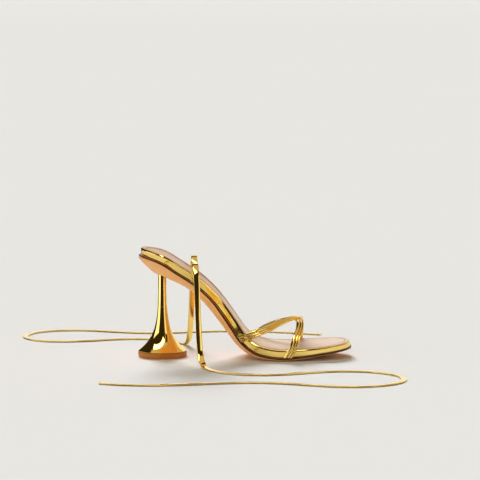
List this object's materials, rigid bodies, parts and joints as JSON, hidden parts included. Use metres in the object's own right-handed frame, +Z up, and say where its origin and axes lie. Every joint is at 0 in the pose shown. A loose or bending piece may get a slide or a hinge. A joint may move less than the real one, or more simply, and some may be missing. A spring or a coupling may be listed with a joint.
{
  "type": "lace up heeled sandal",
  "caption": "Strappy sandal for a right foot: padded footbed on a high flared heel, rolled toe straps that cross over the foot, and long flat ankle ties.",
  "frame": {"origin": "on the floor, at the centre of the heel tip's underside", "axes": "+X towards the toe, +Y towards the medial side, +Z up"},
  "size_m": [0.3882, 0.3875, 0.1115],
  "materials": {
    "gold_foil": "mirror gold foil",
    "gold_heel": "mirror gold plating",
    "lining": "soft satin",
    "sole": "satin tan",
    "tip": "satin brown"
  },
  "bodies": {
    "root": {"outsole": "sole", "heel": "gold_heel", "heel_tip": "tip", "footbed": "gold_foil", "insole": "lining", "upper": "gold_foil", "tie_lateral": "gold_foil", "tie_medial": "gold_foil"}
  },
  "joints": []
}
